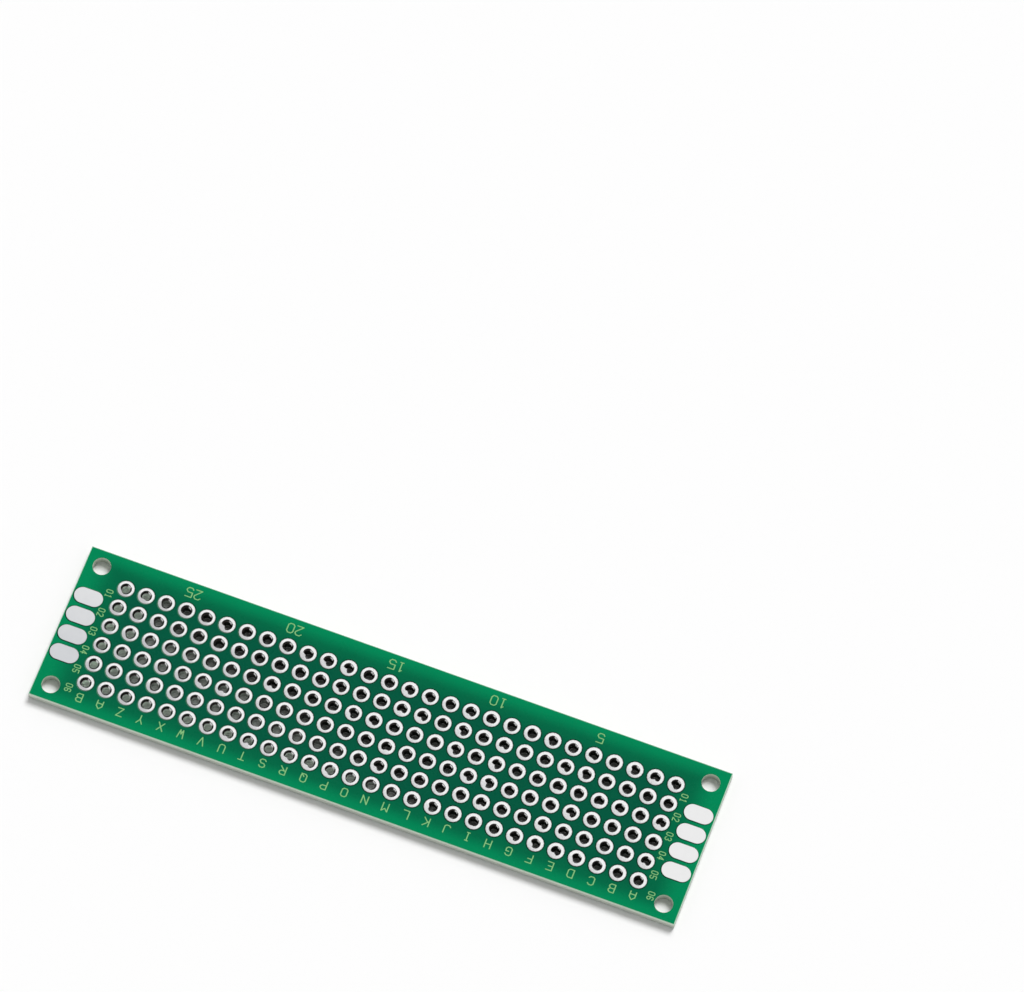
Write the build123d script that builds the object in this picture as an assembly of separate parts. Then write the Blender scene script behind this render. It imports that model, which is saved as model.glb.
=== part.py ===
from build123d import *
import os

# A double-sided prototype board with plated-through lead holes, lying on its underside.
# +X runs along the board from column A to the last column, +Y towards the edge with the column
# letters, and +Z up out of the lettered face. The origin is under the board's middle, on the
# surface that the solder rings of the underside stand on. All sizes are in millimetres.

# --- Board ---
BOARD_LENGTH = 80.0
BOARD_WIDTH = 20.0
LAMINATE_THICKNESS = 1.2

# --- Lead holes: a ring on each face and a barrel between them, all one plated piece ---
PITCH = 2.54
HOLE_DIAMETER = 1.0  # finished, inside the plating
PLATING_WALL = 0.05
RING_DIAMETER = 2.0
SOLDER_HEIGHT = 0.07  # copper and its solder finish, above the laminate
LIP = 0.06  # funnel at each mouth of the hole, where the solder draws back

# --- Mounting holes, bare and unplated, one in each corner ---
MOUNTING_HOLE_DIAMETER = 2.2
MOUNTING_HOLE_INSET = 2.0  # from each edge to the hole's centre

# --- End lands: oblong solder pads along both ends, on both faces ---
LAND_LENGTH = 3.5
LAND_WIDTH = 2.0
LAND_EDGE_GAP = 0.25  # from the board's end to the land
LAND_EDGE_RADIUS = 0.03
ROWS_WITHOUT_LAND = 1  # at each side, where the mounting holes are

# --- Solder mask ---
MASK_THICKNESS = 0.03
MASK_CLEARANCE = 0.08  # round each ring and land
MASK_SETBACK = 0.08  # from the board's cut edges
TOP_MASK_SHIFT = (0.04, 0.04)  # the lettered face's film sits this far off its copper

# --- Lettering, left open in the mask so that the bare laminate shows ---
LETTER_HEIGHT = 1.15
LETTER_WIDTH = 0.82
LETTER_STROKE = 0.14
LETTER_GAP = 0.43  # from the last row's rings to the column letters
ROW_NUMBER_HEIGHT = 0.87
ROW_DIGIT_WIDTH = 0.48
ROW_NUMBER_STROKE = 0.12
ROW_NUMBER_GAPS = (0.015, 0.205)  # from the rings of the first and the last column to the row numbers
LAST_ROW_NUMBER_SIDESTEP = 0.54  # the last number at column A stands this much further out
COUNT_HEIGHT = 1.3
COUNT_DIGIT_WIDTH = 0.9
COUNT_GAP = 0.64  # from the first row's rings to the column count
COUNT_STEP = 5  # every fifth column carries its number
DIGIT_SPACE = 0.11  # between two digits, as drawn 0.87 high

# --- Room that the margins keep for lettering ---
ROW_NUMBER_STRIP = 0.75  # between the rings and the end lands
EDGE_STRIP = 2.5  # between the rings and the long edges

# Each letter is drawn with a pen on a grid 4 wide and 6 high: "26" is 2 across and 6 up, a space
# joins two points with a line, and a comma lifts the pen.
PEN_STROKES = {
    "A": "00 04 26 44 40,02 42",
    "B": "00 06 36 45 44 33 03,33 42 41 30 00",
    "C": "45 36 16 05 01 10 30 41",
    "D": "00 06 36 45 41 30 00",
    "E": "46 06 00 40,03 33",
    "F": "46 06 00,03 33",
    "G": "45 36 16 05 01 10 30 41 43 23",
    "H": "00 06,40 46,03 43",
    "I": "20 26,10 30,16 36",
    "J": "46 41 30 10 01",
    "K": "00 06,46 02,13 40",
    "L": "06 00 40",
    "M": "00 06 24 46 40",
    "N": "00 06 40 46",
    "O": "10 01 05 16 36 45 41 30 10",
    "P": "00 06 36 45 44 33 03",
    "Q": "10 01 05 16 36 45 41 30 10,22 40",
    "R": "00 06 36 45 44 33 03,13 40",
    "S": "45 36 16 05 04 13 33 42 41 30 10 01",
    "T": "06 46,26 20",
    "U": "06 01 10 30 41 46",
    "V": "06 20 46",
    "W": "06 10 23 30 46",
    "X": "00 46,06 40",
    "Y": "06 23 46,23 20",
    "Z": "06 46 00 40",
    "0": "10 01 05 16 36 45 41 30 10",
    "1": "15 26 20,10 30",
    "2": "05 16 36 45 44 00 40",
    "3": "05 16 36 45 44 33 42 41 30 10 01,23 33",
    "4": "30 36 02 42",
    "5": "46 06 03 33 42 41 30 10 01",
    "6": "45 36 16 05 01 10 30 41 42 33 03",
    "7": "06 46 20",
    "8": "33 13 04 05 16 36 45 44 33 42 41 30 10 01 02 13",
    "9": "01 10 30 41 45 36 16 05 04 13 43",
}
GRID_WIDTH, GRID_HEIGHT = 4, 6
ALPHABET = "ABCDEFGHIJKLMNOPQRSTUVWXYZ"

# --- Worked out from the sizes above ---
RING_RADIUS = RING_DIAMETER / 2
TOTAL_HEIGHT = LAMINATE_THICKNESS + 2 * SOLDER_HEIGHT
LAMINATE_TOP = SOLDER_HEIGHT + LAMINATE_THICKNESS
END_MARGIN = LAND_EDGE_GAP + LAND_LENGTH + ROW_NUMBER_STRIP + RING_RADIUS
SIDE_MARGIN = EDGE_STRIP + RING_RADIUS
COLUMNS = int((BOARD_LENGTH - 2 * END_MARGIN) / PITCH) + 1
ROWS = int((BOARD_WIDTH - 2 * SIDE_MARGIN) / PITCH) + 1
COLUMN_X = [(column - (COLUMNS - 1) / 2) * PITCH for column in range(COLUMNS)]
ROW_Y = [(row - (ROWS - 1) / 2) * PITCH for row in range(ROWS)]
HOLE_PLACES = [(x, y) for x in COLUMN_X for y in ROW_Y]
MOUNTING_PLACES = [
    (side_x * (BOARD_LENGTH / 2 - MOUNTING_HOLE_INSET), side_y * (BOARD_WIDTH / 2 - MOUNTING_HOLE_INSET))
    for side_x in (-1, 1)
    for side_y in (-1, 1)
]
LAND_X = BOARD_LENGTH / 2 - LAND_EDGE_GAP - LAND_LENGTH / 2
LAND_ROWS = range(ROWS_WITHOUT_LAND, ROWS - ROWS_WITHOUT_LAND)


def placed(shape, places):
    """A copy of a flat shape or a solid at each (x, y)."""
    return [Pos(x, y) * shape for x, y in places]


def plate(outline, bottom, thickness):
    """A flat outline made into a sheet, standing on the height given."""
    return extrude(Pos(0, 0, bottom) * outline, thickness)


# --- Substrate ---
def substrate():
    """The glass-epoxy laminate, one sheet drilled for the lead holes and the mounting holes."""
    drilled = Circle(HOLE_DIAMETER / 2 + PLATING_WALL)
    outline = Rectangle(BOARD_LENGTH, BOARD_WIDTH)
    outline -= placed(drilled, HOLE_PLACES)
    outline -= placed(Circle(MOUNTING_HOLE_DIAMETER / 2), MOUNTING_PLACES)
    return plate(outline, SOLDER_HEIGHT, LAMINATE_THICKNESS)


# --- Plated lead holes ---
def plated_hole():
    """One lead hole's metal: a thin barrel between two rings, with a funnel at each mouth."""
    bore = HOLE_DIAMETER / 2
    drilled = bore + PLATING_WALL
    section = Polyline(
        (bore, LIP),
        (bore + LIP, 0),
        (RING_RADIUS, 0),
        (RING_RADIUS, SOLDER_HEIGHT),
        (drilled, SOLDER_HEIGHT),
        (drilled, LAMINATE_TOP),
        (RING_RADIUS, LAMINATE_TOP),
        (RING_RADIUS, TOTAL_HEIGHT),
        (bore + LIP, TOTAL_HEIGHT),
        (bore, TOTAL_HEIGHT - LIP),
        close=True,
    )
    return revolve(Plane.XZ * make_face(section), Axis.Z)


# --- End lands ---
def end_land():
    """One oblong solder land for the lettered face, with its upper edge rounded."""
    land = plate(SlotOverall(LAND_LENGTH, LAND_WIDTH), LAMINATE_TOP, SOLDER_HEIGHT)
    return fillet(land.faces().sort_by(Axis.Z)[-1].edges(), LAND_EDGE_RADIUS)


# --- Lettering ---
def pen_line(start, end, stroke):
    """One stroke of the pen, round at both ends."""
    middle = (Vector(*start) + Vector(*end)) / 2
    return SlotCenterPoint(middle, end, stroke)


def glyph(letter, height, width, stroke):
    """One letter or digit as a flat shape, its overall box centred on the origin."""
    step_x = (width - stroke) / GRID_WIDTH
    step_y = (height - stroke) / GRID_HEIGHT
    lines = []
    for pen_path in PEN_STROKES[letter].split(","):
        points = [
            ((int(x) - GRID_WIDTH / 2) * step_x, (int(y) - GRID_HEIGHT / 2) * step_y)
            for x, y in pen_path.split()
        ]
        lines += [pen_line(start, end, stroke) for start, end in zip(points, points[1:])]
    return Sketch() + lines


def word(text, height, width, stroke):
    """Letters or digits side by side, centred on the origin."""
    advance = width + DIGIT_SPACE * height / ROW_NUMBER_HEIGHT
    start = -advance * (len(text) - 1) / 2
    return [Pos(start + i * advance, 0) * glyph(text[i], height, width, stroke) for i in range(len(text))]


def column_letters():
    """A letter beyond the last row at every column, starting again at A after Z."""
    y = ROW_Y[-1] + RING_RADIUS + LETTER_GAP + LETTER_HEIGHT / 2
    return [
        Pos(x, y) * glyph(ALPHABET[column % len(ALPHABET)], LETTER_HEIGHT, LETTER_WIDTH, LETTER_STROKE)
        for column, x in enumerate(COLUMN_X)
    ]


def row_numbers():
    """Two-digit row numbers beside the first and the last column, read from the right-hand end."""
    shapes = []
    for row, y in enumerate(ROW_Y):
        number = word(f"{row + 1:02d}", ROW_NUMBER_HEIGHT, ROW_DIGIT_WIDTH, ROW_NUMBER_STROKE)
        sidestep = LAST_ROW_NUMBER_SIDESTEP if row == ROWS - 1 else 0
        first_gap, last_gap = [RING_RADIUS + gap + ROW_NUMBER_HEIGHT / 2 for gap in ROW_NUMBER_GAPS]
        for x in (COLUMN_X[0] - first_gap - sidestep, COLUMN_X[-1] + last_gap):
            shapes += [Pos(x, y + PITCH / 2) * Rot(0, 0, 90) * digit for digit in number]
    return shapes


def column_count():
    """The number of every fifth column, before the first row."""
    y = ROW_Y[0] - RING_RADIUS - COUNT_GAP - COUNT_HEIGHT / 2
    shapes = []
    for number in range(COUNT_STEP, COLUMNS + 1, COUNT_STEP):
        digits = word(str(number), COUNT_HEIGHT, COUNT_DIGIT_WIDTH, LETTER_STROKE)
        shapes += [Pos(COLUMN_X[number - 1], y) * digit for digit in digits]
    return shapes


# --- Solder mask ---
def mask_outline(shift, lettering):
    """The mask of one face, open at every ring, land and hole, and along its lettering."""
    ring_opening = Circle(RING_RADIUS + MASK_CLEARANCE)
    land_opening = SlotOverall(LAND_LENGTH + 2 * MASK_CLEARANCE, LAND_WIDTH + 2 * MASK_CLEARANCE)
    land_places = [(side * LAND_X, ROW_Y[row]) for side in (-1, 1) for row in LAND_ROWS]
    openings = placed(ring_opening, HOLE_PLACES) + placed(land_opening, land_places)
    outline = Rectangle(BOARD_LENGTH - 2 * MASK_SETBACK, BOARD_WIDTH - 2 * MASK_SETBACK)
    outline -= placed(Circle(MOUNTING_HOLE_DIAMETER / 2), MOUNTING_PLACES)
    outline -= [Pos(*shift) * opening for opening in openings]
    if lettering:
        outline -= lettering
    return outline


def main():
    nodes = {"substrate": substrate()}

    lettering = column_letters() + row_numbers() + column_count()
    nodes["top_solder_mask"] = plate(mask_outline(TOP_MASK_SHIFT, lettering), LAMINATE_TOP, MASK_THICKNESS)
    nodes["underside_solder_mask"] = plate(
        mask_outline((0, 0), []), SOLDER_HEIGHT - MASK_THICKNESS, MASK_THICKNESS
    )

    hole = plated_hole()
    for column, x in enumerate(COLUMN_X):
        nodes[f"plated_holes_column_{column + 1:02d}"] = Compound(placed(hole, [(x, y) for y in ROW_Y]))

    land = end_land()
    faces = {"top": land, "bottom": Pos(0, 0, TOTAL_HEIGHT) * Rot(180, 0, 0) * land}
    for face, shape in faces.items():
        for end, side in (("left", -1), ("right", 1)):
            for row in LAND_ROWS:
                nodes[f"end_land_{end}_{face}_row_{row + 1}"] = Pos(side * LAND_X, ROW_Y[row]) * shape

    os.makedirs("parts", exist_ok=True)
    for name, shape in nodes.items():
        export_step(shape, f"parts/{name}.step")


main()
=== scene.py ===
import math
import random

import bpy
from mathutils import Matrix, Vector


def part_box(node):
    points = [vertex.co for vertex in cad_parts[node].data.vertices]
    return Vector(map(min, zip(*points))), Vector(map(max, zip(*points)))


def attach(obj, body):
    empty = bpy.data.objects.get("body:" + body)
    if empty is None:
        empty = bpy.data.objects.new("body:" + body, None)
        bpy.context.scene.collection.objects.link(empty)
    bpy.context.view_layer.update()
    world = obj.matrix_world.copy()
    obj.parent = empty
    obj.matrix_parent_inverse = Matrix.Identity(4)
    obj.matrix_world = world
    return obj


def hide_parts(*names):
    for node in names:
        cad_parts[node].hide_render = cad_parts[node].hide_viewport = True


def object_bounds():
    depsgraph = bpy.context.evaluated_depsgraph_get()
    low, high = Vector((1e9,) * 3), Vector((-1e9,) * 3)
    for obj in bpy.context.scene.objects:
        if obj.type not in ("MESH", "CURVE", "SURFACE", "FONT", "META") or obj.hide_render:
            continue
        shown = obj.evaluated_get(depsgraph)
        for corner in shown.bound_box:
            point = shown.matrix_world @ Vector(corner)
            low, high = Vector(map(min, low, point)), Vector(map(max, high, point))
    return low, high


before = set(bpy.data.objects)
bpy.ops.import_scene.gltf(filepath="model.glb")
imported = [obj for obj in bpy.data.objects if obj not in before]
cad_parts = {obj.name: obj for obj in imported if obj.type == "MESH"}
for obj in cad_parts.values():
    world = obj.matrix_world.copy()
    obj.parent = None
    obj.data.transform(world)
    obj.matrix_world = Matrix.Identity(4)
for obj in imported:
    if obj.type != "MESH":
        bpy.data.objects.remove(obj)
cad_low, cad_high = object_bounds()


# --- Camera ---
# The board is looked down on from beyond its lettered edge, by a long lens, so its length runs
# across the view with column A at the right. The board lies in the lower left part of the view.
MM = 0.001
CAMERA_PLACE = Vector((-105.85, 290.28, 775.44)) * MM
CAMERA_AIM = Vector((-3.75, -33.71, 1.34)) * MM
CAMERA_ROLL = math.radians(3.274)
LENS, SENSOR = 251.98, 36.0

camera = bpy.data.objects.new("camera", bpy.data.cameras.new("camera"))
bpy.context.scene.collection.objects.link(camera)
camera.data.sensor_width = SENSOR
camera.data.lens = LENS
camera.data.clip_start = 0.01
camera.location = CAMERA_PLACE
camera.rotation_euler = (CAMERA_AIM - CAMERA_PLACE).to_track_quat("-Z", "Y").to_euler()
camera.rotation_euler.rotate_axis("Z", CAMERA_ROLL)
bpy.context.scene.camera = camera
bpy.context.scene.view_settings.view_transform = "Standard"


# --- Floor and light ---
# A plain white table that reaches past the view, in a white tent that is open overhead, so little
# light falls straight down the holes. A distant lamp beyond the board's far edge throws the
# shadow. The tin reflects the tent as the camera sees it, white on all sides.
FLOOR_SIZE = 40
FLOOR_DROP = 0.01 * MM
WHITE_TABLE = (0.97, 0.97, 0.97, 1)
LAMP_SHARE = 0.62
LAMP_DIRECTION = Vector((-0.10, -0.53, 0.84)).normalized()
LAMP_SPREAD = math.radians(28)
TENT_SHARE, OPENING_SHARE = 0.60, 0.08
OPENING_FROM, OPENING_TO = 0.72, 0.85


class Shade:
    """A socket in a node tree. Sums on it add Math nodes, and node() adds any other node."""

    def __init__(self, tree, socket=None):
        self.tree, self.socket = tree, socket

    def node(self, kind, settings, inputs, output=0):
        """Adds a node: its settings first, then the values or links of its sockets."""
        made = self.tree.nodes.new(kind)
        for name, value in settings.items():
            setattr(made, name, value)
        for name, value in inputs.items():
            if isinstance(value, Shade):
                self.tree.links.new(value.socket, made.inputs[name])
            else:
                made.inputs[name].default_value = value
        return Shade(self.tree, made.outputs[output])

    def math(self, operation, *others):
        """A Math node in which this comes first."""
        return self.node("ShaderNodeMath", {"operation": operation}, dict(enumerate((self, *others))))

    def reflected(self, operation, first):
        """A Math node in which this comes second."""
        return self.node("ShaderNodeMath", {"operation": operation}, {0: first, 1: self})

    def __add__(self, other):
        return self.math("ADD", other)

    def __radd__(self, other):
        return self.reflected("ADD", other)

    def __sub__(self, other):
        return self.math("SUBTRACT", other)

    def __rsub__(self, other):
        return self.reflected("SUBTRACT", other)

    def __mul__(self, other):
        return self.math("MULTIPLY", other)

    def __rmul__(self, other):
        return self.reflected("MULTIPLY", other)

    def __truediv__(self, other):
        return self.math("DIVIDE", other)

    def __rtruediv__(self, other):
        return self.reflected("DIVIDE", other)

    def __abs__(self):
        return self.math("ABSOLUTE")

    def ramp(self, start, end, low=0.0, high=1.0):
        """Low up to start, high from end on, and a smooth change between them."""
        inputs = {"Value": self, "From Min": start, "From Max": end, "To Min": low, "To Max": high}
        return self.node("ShaderNodeMapRange", {"interpolation_type": "SMOOTHSTEP"}, inputs)

    def colours(self, first, second):
        """The first colour where this is 0, the second where it is 1."""
        inputs = {"Factor": self, 6: first, 7: second}
        return self.node("ShaderNodeMix", {"data_type": "RGBA"}, inputs, 2)

    def parts(self):
        """The X, Y and Z of a vector."""
        return [self.node("ShaderNodeSeparateXYZ", {}, {0: self}, axis) for axis in "XYZ"]


def new_material(name):
    """A material with one Principled shader: returns it, the shader and a Shade of its tree."""
    material = bpy.data.materials.new(name)
    material.use_nodes = True
    return material, material.node_tree.nodes["Principled BSDF"], Shade(material.node_tree)


def feed(shader, name, value):
    """Links a Shade to one of the shader's sockets, or sets a plain value on it."""
    if isinstance(value, Shade):
        value.tree.links.new(value.socket, shader.inputs[name])
    else:
        shader.inputs[name].default_value = value


def coat(thing, material):
    """Makes this the only material of a piece or of a carried-over node."""
    thing.data.materials.clear()
    thing.data.materials.append(material)


bpy.ops.object.select_all(action="DESELECT")
bpy.ops.mesh.primitive_plane_add(size=FLOOR_SIZE, location=(0, 0, cad_low.z - FLOOR_DROP))
floor = bpy.context.active_object
floor.name = "floor"
floor_material, shader, _ = new_material("white_table")
feed(shader, "Base Color", WHITE_TABLE)
feed(shader, "Roughness", 0.9)
feed(shader, "Specular IOR Level", 0.0)
coat(floor, floor_material)

lamp = bpy.data.objects.new("lamp", bpy.data.lights.new("lamp", "SUN"))
bpy.context.scene.collection.objects.link(lamp)
lamp.data.energy = LAMP_SHARE * math.pi / LAMP_DIRECTION.z
lamp.data.angle = LAMP_SPREAD
lamp.location = LAMP_DIRECTION
lamp.rotation_euler = LAMP_DIRECTION.to_track_quat("Z", "Y").to_euler()
lamp.visible_glossy = False

world = bpy.data.worlds.new("tent")
world.use_nodes = True
bpy.context.scene.world = world
tent = Shade(world.node_tree)
camera_ray, glossy_ray, transmission_ray = (
    tent.node("ShaderNodeLightPath", {}, {}, f"Is {kind} Ray")
    for kind in ("Camera", "Glossy", "Transmission")
)
shown = (camera_ray + glossy_ray + transmission_ray).math("MINIMUM", 1.0)
height = tent.node("ShaderNodeTexCoord", {}, {}, "Generated").parts()[2]
tent_light = height.ramp(OPENING_FROM, OPENING_TO, TENT_SHARE, OPENING_SHARE)
strength = shown + (1 - shown) * tent_light
background = world.node_tree.nodes["Background"]
background.inputs["Color"].default_value = (1, 1, 1, 1)
world.node_tree.links.new(strength.socket, background.inputs["Strength"])


# --- Substrate ---
# One sheet of woven glass and epoxy, pale green where the mask leaves it bare in the lettering.
# Its sawn ends and its drilled walls show the cut glass bundles as light flecks.
PITCH = 2.54 * MM
COLUMNS, ROWS, LAND_ROWS = 28, 6, 4
MASK_GAP = 0.15 * MM
RIM_WIDTH, RIM_FADE = 0.08 * MM, 0.04 * MM
BUNDLE_SIZE, LAYER_SIZE = 0.42 * MM, 0.16 * MM
BUNDLE_RELIEF = 0.02 * MM
DARK_FOOT, PALE_HEAD = 0.35 * MM, 0.1 * MM
END_RAMP_REACH = 34 * MM
BARE_EPOXY = (138, 196, 130)
SHADED_RESIN = (0, 58, 38)
FADED_FOOT_SHADE = (70, 124, 98)
RIM_RESIN_AND_HIGHLIGHT = (172, 208, 186)
SAWN_RESIN_AND_FOOT_SHADE = (182, 188, 178)
SAWN_GLASS_AND_TOP_LIGHT = (214, 222, 206)


def colour(levels):
    """Red, green and blue as display levels from 0 to 255, turned into linear light."""
    shares = [level / 255 for level in levels]
    linear = [s / 12.92 if s <= 0.04045 else ((s + 0.055) / 1.055) ** 2.4 for s in shares]
    return (*linear, 1.0)


def place_of(shade):
    """The place on the object, in metres."""
    return shade.node("ShaderNodeTexCoord", {}, {}, "Object")


def noise(shade, place, size, detail=2.0, stretch=(1, 1, 1)):
    """Soft noise from 0 to 1, with lumps about as wide as size, stretched along the axes."""
    scale = tuple(1 / (size * s) for s in stretch)
    mapped = shade.node("ShaderNodeMapping", {}, {"Vector": place, "Scale": scale})
    return shade.node("ShaderNodeTexNoise", {}, {"Vector": mapped, "Scale": 1.0, "Detail": detail})


def bump(shade, height, depth):
    """A normal from a height of 0 to 1 that stands for a real depth in metres."""
    return shade.node("ShaderNodeBump", {}, {"Height": height, "Distance": depth, "Strength": 1.0})


def from_nearest(coordinate, count):
    """How far a place is, along one axis, from the nearest of a row of hole centres."""
    step = (coordinate / PITCH).math("FLOOR")
    inside = step.math("MAXIMUM", -count / 2).math("MINIMUM", count / 2 - 1)
    return coordinate - (inside + 0.5) * PITCH


def length_of(along, across):
    """The length of a flat vector."""
    return (along * along + across * across).math("SQRT")


def from_hole_centre(x, y):
    """The distance to the axis of the nearest lead hole."""
    return length_of(from_nearest(x, COLUMNS), from_nearest(y, ROWS))


substrate_material, shader, shade = new_material("glass_epoxy")
place = place_of(shade)
x, y, z = place.parts()
board_low, board_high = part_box("substrate")

# what is bare on a face: the resin round rings and lands, dark at their feet as painted shade, the
# letters, and the rim, paler as a painted edge highlight
ring_low, ring_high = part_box("plated_holes_column_01")
ring_radius = (ring_high.x - ring_low.x) / 2
beside_ring = from_hole_centre(x, y).math("LESS_THAN", ring_radius + MASK_GAP)
land_low, land_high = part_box("end_land_right_top_row_2")
land_radius = (land_high.y - land_low.y) / 2
land_centre = (land_low.x + land_high.x) / 2
land_reach = (land_high.x - land_low.x) / 2 - land_radius
past_land = (abs(abs(x) - land_centre) - land_reach).math("MAXIMUM", 0.0)
from_land_line = length_of(past_land, from_nearest(y, LAND_ROWS))
beside_land = from_land_line.math("LESS_THAN", land_radius + MASK_GAP)
# painted shade: the resin at the feet of rings and lands is dark green, and round the rings this
# painted shade fades towards the +X end
foot_shade_fade = x.ramp(0, END_RAMP_REACH) * beside_ring
foot = foot_shade_fade.colours(colour(SHADED_RESIN), colour(FADED_FOOT_SHADE))
inner = beside_ring.math("MAXIMUM", beside_land).colours(colour(BARE_EPOXY), foot)
# painted highlight: the rim along the board's edges is bare resin, painted paler than the letters as
# an edge highlight
from_rim = (board_high.x - abs(x)).math("MINIMUM", board_high.y - abs(y))
rim = from_rim.ramp(RIM_WIDTH, RIM_WIDTH + RIM_FADE, 1.0, 0.0)
bare = rim.colours(inner, colour(RIM_RESIN_AND_HIGHLIGHT))

# what is sawn or drilled: glass bundles and their layers, with painted light and shade, paler towards
# the lettered face and darker towards the foot
bundles = noise(shade, place, BUNDLE_SIZE, 3.0, (1, 1, 0.3))
layers = noise(shade, place, LAYER_SIZE, 1.0, (30, 30, 1))
# painted light and shade: sawn and drilled faces are paler near the top and darker near the bottom
upper = z.ramp(board_low.z + DARK_FOOT, board_high.z - PALE_HEAD, 0.0, 0.5)
glass_and_top_light = (bundles * 0.5 + layers * 0.4 + upper).ramp(0.45, 1.0)
cut = glass_and_top_light.colours(colour(SAWN_RESIN_AND_FOOT_SHADE), colour(SAWN_GLASS_AND_TOP_LIGHT))

normal_z = shade.node("ShaderNodeNewGeometry", {}, {}, "Normal").parts()[2]
level = abs(normal_z).ramp(0.4, 0.6)
feed(shader, "Base Color", level.colours(cut, bare))
feed(shader, "Roughness", level.ramp(0, 1, 0.75, 0.45))
feed(shader, "Normal", bump(shade, bundles, BUNDLE_RELIEF))
feed(shader, "Specular IOR Level", 0.1)
coat(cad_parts["substrate"], substrate_material)


# --- Solder mask ---
# A green lacquer, cured on both faces. It is painted darker between the rings, as shade where metal
# keeps light from shining through the translucent board, and painted lighter towards the edges of the
# board.
MASK_INSIDE = (0, 84, 60)
MASK_BESIDE = (0, 100, 66)
MASK_BORDER = (0, 132, 84)
MASK_RING_SHADE = (0, 52, 36)
RING_SHADE_FROM, RING_SHADE_TO = 0.05 * MM, 0.2 * MM
FIELD_SOAK = 0.27 * MM
BESIDE_FROM, BESIDE_TO = -1.6 * MM, 0.5 * MM
BORDER_FROM, BORDER_TO = 0.3 * MM, 2.4 * MM
MOTTLE_SIZE, GLOSS_SIZE = 4.0 * MM, 0.8 * MM
PEEL_SIZE, PEEL_RELIEF = 0.35 * MM, 0.002 * MM

mask_material, shader, shade = new_material("green_solder_mask")
place = place_of(shade)
x, y, _ = place.parts()
field_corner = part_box(f"plated_holes_column_{COLUMNS:02d}")[1]
# painted light and shade: the mask is darker over the field of rings and lighter towards the board's
# border
past_field = ((abs(x) - field_corner.x) * 0.6).math("MAXIMUM", abs(y) - field_corner.y)
beside = past_field.ramp(BESIDE_FROM, BESIDE_TO).colours(colour(MASK_INSIDE), colour(MASK_BESIDE))
mottle = (noise(shade, place, MOTTLE_SIZE, 3.0) - 0.5) * 0.3
lacquer_and_painted_light = (past_field.ramp(BORDER_FROM, BORDER_TO) + mottle).colours(beside, colour(MASK_BORDER))
in_field = past_field.math("LESS_THAN", FIELD_SOAK)
# painted shade: the mask is darkened in a narrow band round the foot of each ring inside the field
ring_shade = from_hole_centre(x, y).ramp(ring_radius + RING_SHADE_FROM, ring_radius + RING_SHADE_TO, 0.85, 0.0)
feed(shader, "Base Color", (ring_shade * in_field).colours(lacquer_and_painted_light, colour(MASK_RING_SHADE)))
feed(shader, "Roughness", noise(shade, place, GLOSS_SIZE).ramp(0.3, 0.7, 0.24, 0.34))
feed(shader, "Normal", bump(shade, noise(shade, place, PEEL_SIZE), PEEL_RELIEF))
feed(shader, "Specular IOR Level", 0.06)
for name in ("top_solder_mask", "underside_solder_mask"):
    coat(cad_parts[name], mask_material)


# --- End lands ---
# Oblong copper lands, tinned by dipping and levelled with hot air, so they are flat, satin and
# nearly white. Their CAD shape is right, so they only get their finish here.
BRIGHT_TIN = (237, 237, 237)
DULL_TIN = (210, 212, 215)
GRAIN_SIZE, PATCH_SIZE = 0.06 * MM, 0.7 * MM
TIN_RELIEF = 0.006 * MM
DULL_END = 36 * MM
DULL_FROM, DULL_TO = -9 * MM, 6 * MM


def tin(name, finish):
    """Levelled tin, satin and softly uneven. The finish gives its colour and least roughness."""
    material, shader, shade = new_material(name)
    place = place_of(shade)
    grain = noise(shade, place, GRAIN_SIZE)
    patches = noise(shade, place, PATCH_SIZE)
    tin_colour, least_roughness = finish(shade, place, patches)
    feed(shader, "Metallic", 1.0)
    feed(shader, "Base Color", tin_colour)
    feed(shader, "Roughness", patches.ramp(0.3, 0.7, 0.3, 0.42).math("MAXIMUM", least_roughness))
    feed(shader, "Normal", bump(shade, grain * 0.2 + patches, TIN_RELIEF))
    return material


def land_finish(shade, place, patches):
    """The lands at the far end are duller, most of all in the rows near the lettered edge."""
    x, y, _ = place.parts()
    dulled = x.ramp(0, DULL_END) * y.ramp(DULL_FROM, DULL_TO, 0.35, 1.1) + (patches - 0.5) * 0.15
    return dulled.colours(colour(BRIGHT_TIN), colour(DULL_TIN)), 0.0


land_tin = tin("levelled_tin_lands", land_finish)
for name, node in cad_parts.items():
    if name.startswith("end_land"):
        coat(node, land_tin)


# --- Plated lead holes ---
# Each hole's ring, barrel and ring are one skin of copper and tin. The tin stands as a low bead
# on each ring and runs over the lip into the hole, where it sags to one side in many holes.
SIDES = 16
SEED = 41
BORE_RADIUS, BARREL_RADIUS = 0.5 * MM, 0.55 * MM
BEAD_WIDTH, BEAD_HEIGHT = 0.07 * MM, 0.02 * MM
CROWN_FALL = 0.002 * MM
LIP_WIDTH, LIP_DEPTH = 0.07 * MM, 0.05 * MM
THROAT_DEPTH = 0.2 * MM
STEADY_WIDTH = 0.2 * MM
CLOSE, WELD_GAP = 0.01 * MM, 0.001 * MM
RING_TIN = (246, 246, 246)
SPOTTED_AND_SHADED_TIN = (196, 196, 198)
HIGHLIGHT_TIN = (250, 250, 250)
THROAT_SHADE_TIN = (60, 56, 54)
SHADED_BARREL = (36, 46, 36)
LIT_BARREL = (240, 246, 240)
HIGHLIGHT_SIDE = Vector((-0.53, -0.85))
SHADED_SIDE = Vector((0.5, 0.87))
TONGUE_HALF_ANGLE = math.pi / 3.4
TONGUE_HEADING, HEADING_SPREAD = 55, 45
SAG_SHARE, SAG_SHARE_LOST = 0.6, 0.5
SAG_LEAST, SAG_MOST, SLIGHT_SAG = 0.15 * MM, 0.42 * MM, 0.06 * MM
LIP_WEAR, LIP_WEAR_SPREAD = 0.085 * MM, 0.03 * MM
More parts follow.
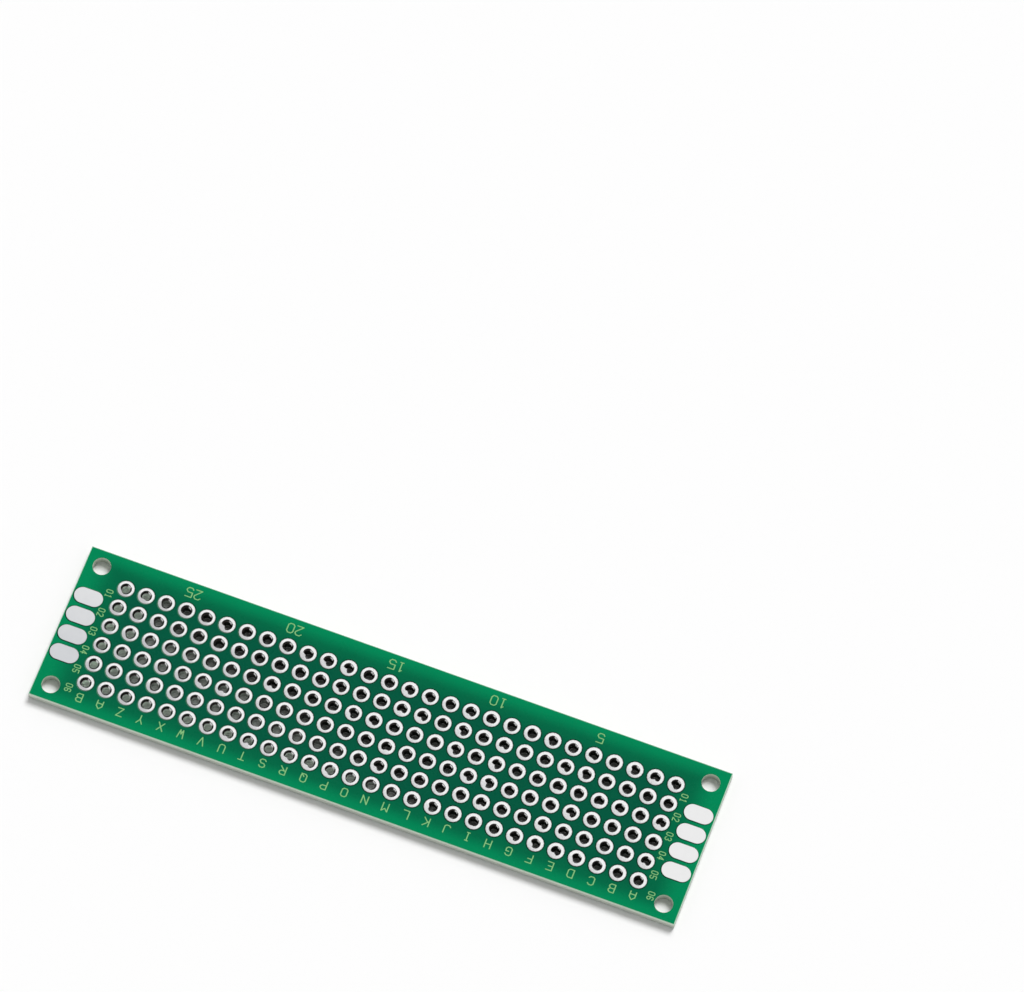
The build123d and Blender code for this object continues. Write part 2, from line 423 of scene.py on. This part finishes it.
SPOT_SIZE = 0.13 * MM
RIM_SHADE_FROM, RIM_SHADE_TO = 0.16 * MM, 0.02 * MM
LIT_ROWS_FROM, LIT_ROWS_TO, LIT_ROWS_SLANT = 8 * MM, 24 * MM, 3.0
LAST_ROW_FROM, LAST_ROW_TO = 4.5 * MM, 6 * MM
LAST_COLUMN_FROM, LAST_COLUMN_TO = 26 * MM, 33 * MM
BARREL_SHADE_FROM, BARREL_SHADE_TO = 0.4 * MM, 0.05 * MM
LIP_SHADE_FROM, LIP_SHADE_TO = 0.005 * MM, 0.012 * MM
FOOT_SHADE = 0.05 * MM

lip_height = ring_high.z - LIP_DEPTH
throat_height = ring_high.z - THROAT_DEPTH

# (radius, height) round one section of the skin, starting at the foot of the upper ring
upper_skin = [
    (ring_radius, board_high.z),
    (ring_radius, ring_high.z - BEAD_HEIGHT),
    (ring_radius - BEAD_WIDTH, ring_high.z),
    (BORE_RADIUS + 2 * LIP_WIDTH, ring_high.z - CROWN_FALL),
    (BORE_RADIUS + LIP_WIDTH, lip_height),
    (BORE_RADIUS, throat_height),
]
lower_skin = [(BORE_RADIUS, ring_low.z), (ring_radius, ring_low.z), (ring_radius, board_low.z)]
hidden_wall = [(BARREL_RADIUS, board_low.z), (BARREL_RADIUS, board_high.z)]
section = upper_skin + lower_skin + hidden_wall + upper_skin[:1]

bpy.ops.object.select_all(action="DESELECT")
bpy.ops.mesh.primitive_circle_add(
    vertices=SIDES, radius=section[0][0], location=(0, 0, section[0][1])
)
hole = bpy.context.active_object
bpy.ops.object.transform_apply(location=True)
bpy.ops.object.mode_set(mode="EDIT")
for (radius, height), (next_radius, next_height) in zip(section, section[1:]):
    rise = (0, 0, next_height - height)
    widen = next_radius / radius
    bpy.ops.mesh.extrude_region_move(TRANSFORM_OT_translate={"value": rise})
    bpy.ops.transform.resize(value=(widen, widen, 1), center_override=(0, 0, 0))
bpy.ops.mesh.select_all(action="SELECT")
bpy.ops.mesh.remove_doubles(threshold=WELD_GAP)
bpy.ops.mesh.normals_make_consistent(inside=False)
bpy.ops.object.mode_set(mode="OBJECT")


def hole_finish(shade, place, patches):
    """Bright on the ring, with random dull spots, darker along its rim and on one side as painted
    shade, and dark down the hole as painted shade. The insides of the holes are painted lighter
    towards the far end and the last rows. A painted highlight runs over the lip at the other side."""
    x, y, z = place.parts()
    off_x, off_y = from_nearest(x, COLUMNS), from_nearest(y, ROWS)
    radius = length_of(off_x, off_y)
    # painted shade: each ring is darker towards its outer edge; the random dull spots are the tin's
    # own
    rim = radius.ramp(ring_radius - RIM_SHADE_FROM, ring_radius - RIM_SHADE_TO, 0.0, 0.4)
    side_shade_mask = ((off_x * SHADED_SIDE.x + off_y * SHADED_SIDE.y) / radius).ramp(0.0, 0.95)
    # painted shade: one side of each ring is darkened, more towards the +X end
    worn = side_shade_mask * (0.5 + x.ramp(0, END_RAMP_REACH) * 0.5)
    spots = noise(shade, place, SPOT_SIZE).ramp(0.5, 0.7, 0.0, 0.45)
    ring = (worn + rim + spots).colours(colour(RING_TIN), colour(SPOTTED_AND_SHADED_TIN))

    # painted highlight: a bright band over the lip on one side of each hole, which also raises the
    # least roughness there
    painted_highlight = ((off_x * HIGHLIGHT_SIDE.x + off_y * HIGHLIGHT_SIDE.y) / radius).ramp(0.86, 0.96)
    throat = painted_highlight.colours(colour(THROAT_SHADE_TIN), colour(HIGHLIGHT_TIN))
    # painted light: the barrels are painted lighter towards the far end and the last rows
    last_row = y.ramp(LAST_ROW_FROM, LAST_ROW_TO, 1.0, 1.4)
    last_rows = (x + y * LIT_ROWS_SLANT).ramp(LIT_ROWS_FROM, LIT_ROWS_TO, 0.0, 0.65) * last_row
    painted_light_inside = last_rows.math("MAXIMUM", x.ramp(LAST_COLUMN_FROM, LAST_COLUMN_TO))
    barrel = painted_light_inside.colours(colour(SHADED_BARREL), colour(LIT_BARREL))

    # painted shade: inside the hole the tin is dark below the lip, darkest down the barrel
    deep = z.ramp(throat_height - BARREL_SHADE_FROM, throat_height - BARREL_SHADE_TO, 1.0, 0.0)
    below_lip = z.ramp(lip_height + LIP_SHADE_FROM, ring_high.z - LIP_SHADE_TO, 1.0, 0.0)
    down = below_lip * z.ramp(ring_low.z, ring_low.z + FOOT_SHADE)
    return down.colours(ring, deep.colours(throat, barrel)), down * painted_light_inside.math("MAXIMUM", painted_highlight)


def sagged(point, heading, reach, opened):
    """Where a point of the upper tin goes: the lip of an opened hole is worn back all round, and
    tin that sags stands out from the lip as a tongue that reaches some way over the hole."""
    radius = math.hypot(point.x, point.y)
    off = (math.atan2(point.y, point.x) - heading + math.pi) % (2 * math.pi) - math.pi
    tongue = max(0.0, math.cos(1.7 * off)) ** 2 if abs(off) < TONGUE_HALF_ANGLE else 0.0
    change = 0.0
    if point.z > throat_height - CLOSE and radius < ring_radius - STEADY_WIDTH:
        change = -tongue * reach * (1.0 if point.z > throat_height + CLOSE else 0.6)
        if point.z > lip_height - CLOSE:
            change += opened * (1 - tongue)
    grown = 1 + change / radius
    return Vector((point.x * grown, point.y * grown, point.z))


hole_tin = tin("levelled_tin_rings", hole_finish)
chance = random.Random(SEED)
for number in range(1, COLUMNS + 1):
    node_name = f"plated_holes_column_{number:02d}"
    column_low, column_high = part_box(node_name)
    along = (number - 1) / (COLUMNS - 1)
    holes = []
    for row in range(ROWS):
        copy = bpy.data.objects.new("plated_hole", hole.data.copy())
        bpy.context.scene.collection.objects.link(copy)
        heading = math.radians(TONGUE_HEADING + chance.uniform(-HEADING_SPREAD, HEADING_SPREAD))
        sags = chance.random() < SAG_SHARE - SAG_SHARE_LOST * along
        reach = chance.uniform(SAG_LEAST, SAG_MOST) if sags else chance.uniform(0.0, SLIGHT_SAG)
        opened = LIP_WEAR * along + chance.uniform(0.0, LIP_WEAR_SPREAD)
        centre_x = (column_low.x + column_high.x) / 2
        centre_y = column_low.y + ring_radius + row * PITCH
        for vertex in copy.data.vertices:
            moved = sagged(vertex.co, heading, reach, opened)
            vertex.co = moved + Vector((centre_x, centre_y, 0))
        holes.append(copy)
    bpy.ops.object.select_all(action="DESELECT")
    for copy in holes:
        copy.select_set(True)
    bpy.context.view_layer.objects.active = holes[0]
    bpy.ops.object.join()
    piece = bpy.context.active_object
    piece.name = f"tinned_holes_column_{number:02d}"
    bpy.ops.object.shade_smooth_by_angle(angle=math.radians(30))
    coat(piece, hole_tin)
    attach(piece, "root")
    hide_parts(node_name)
bpy.data.objects.remove(hole)
